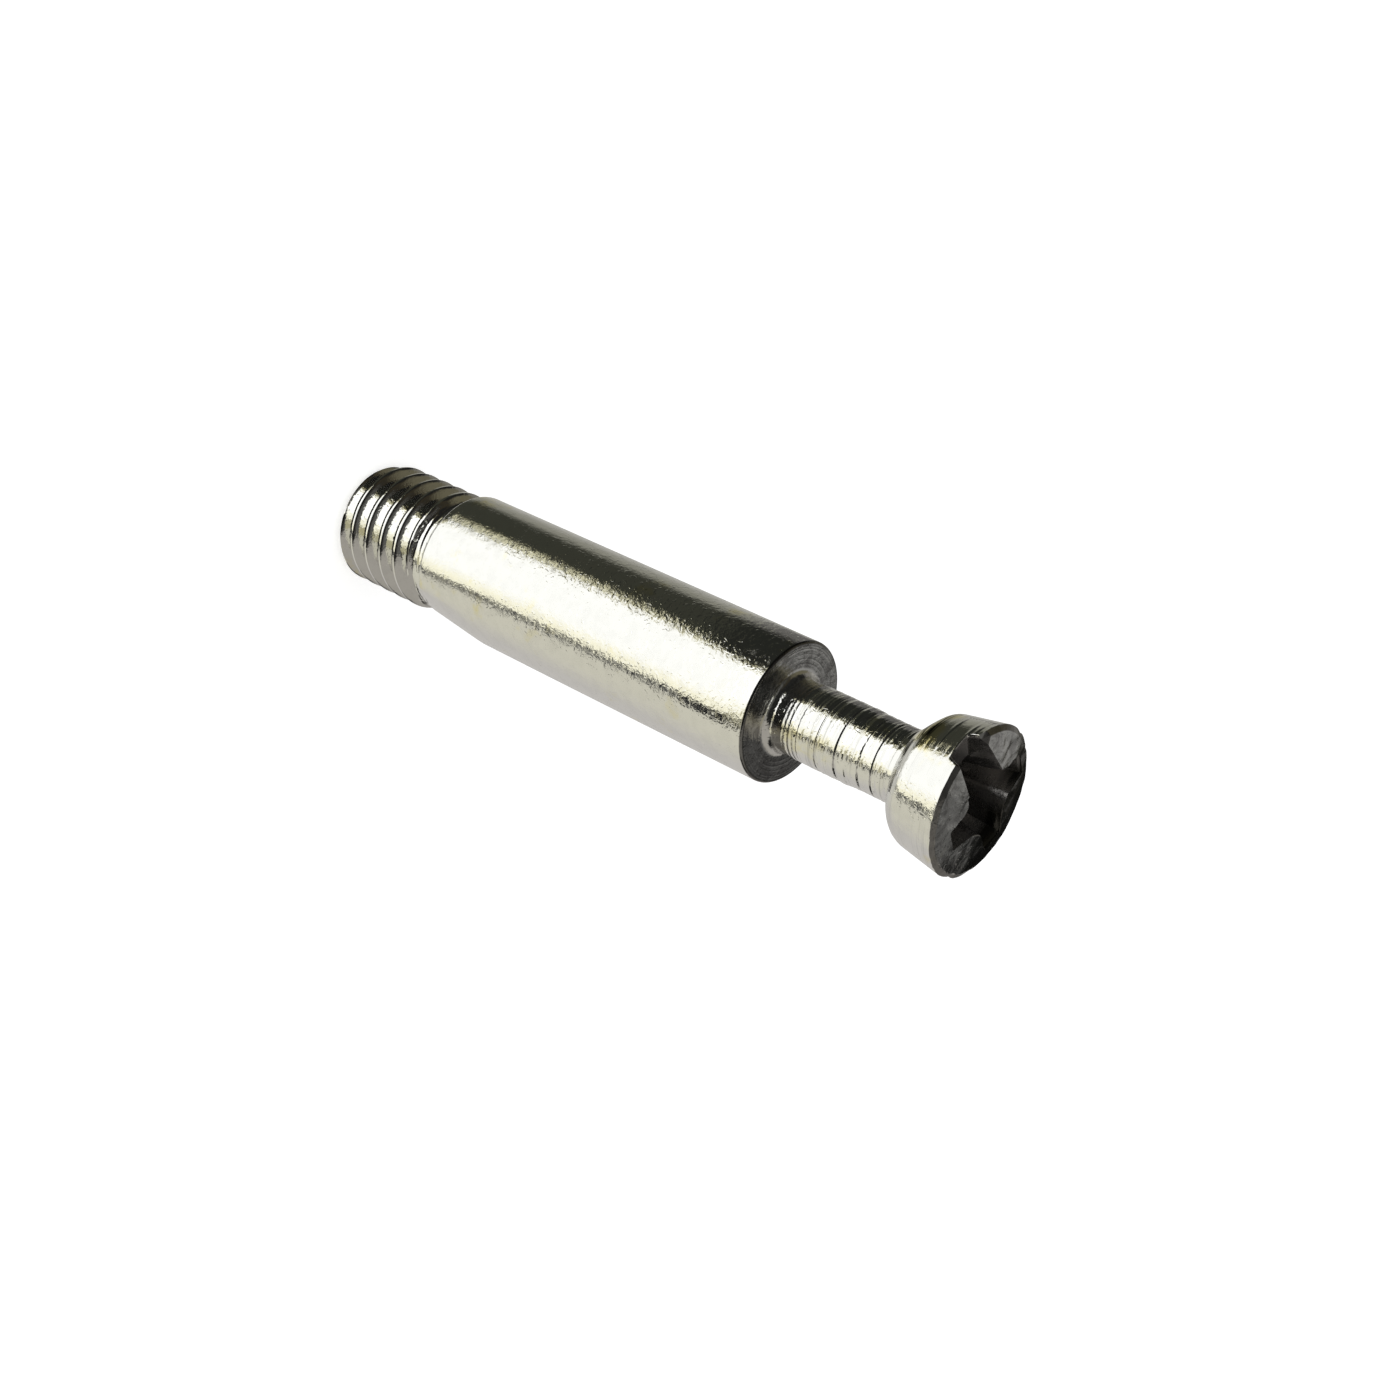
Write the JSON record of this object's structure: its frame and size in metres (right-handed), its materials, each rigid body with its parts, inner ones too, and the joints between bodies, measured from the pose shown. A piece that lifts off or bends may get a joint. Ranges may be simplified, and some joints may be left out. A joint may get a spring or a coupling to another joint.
{
  "type": "cam dowel",
  "caption": "Cam dowel with a short threaded end, a plain round shank, a slim neck and a rounded head with a cross recess; a cam grips its head to pull panels together.",
  "frame": {"origin": "middle of the flat end of the threaded foot, on the dowel's axis", "axes": "+Z along the axis, from the threaded end to the head; the open wing of the recess faces -Y, turned a little towards -X"},
  "size_m": [0.0066, 0.0066, 0.036],
  "materials": {
    "zinc_plate": "bright zinc plate with a fine orange-peel gloss"
  },
  "bodies": {
    "root": {"cam_dowel": "zinc_plate"}
  },
  "joints": []
}
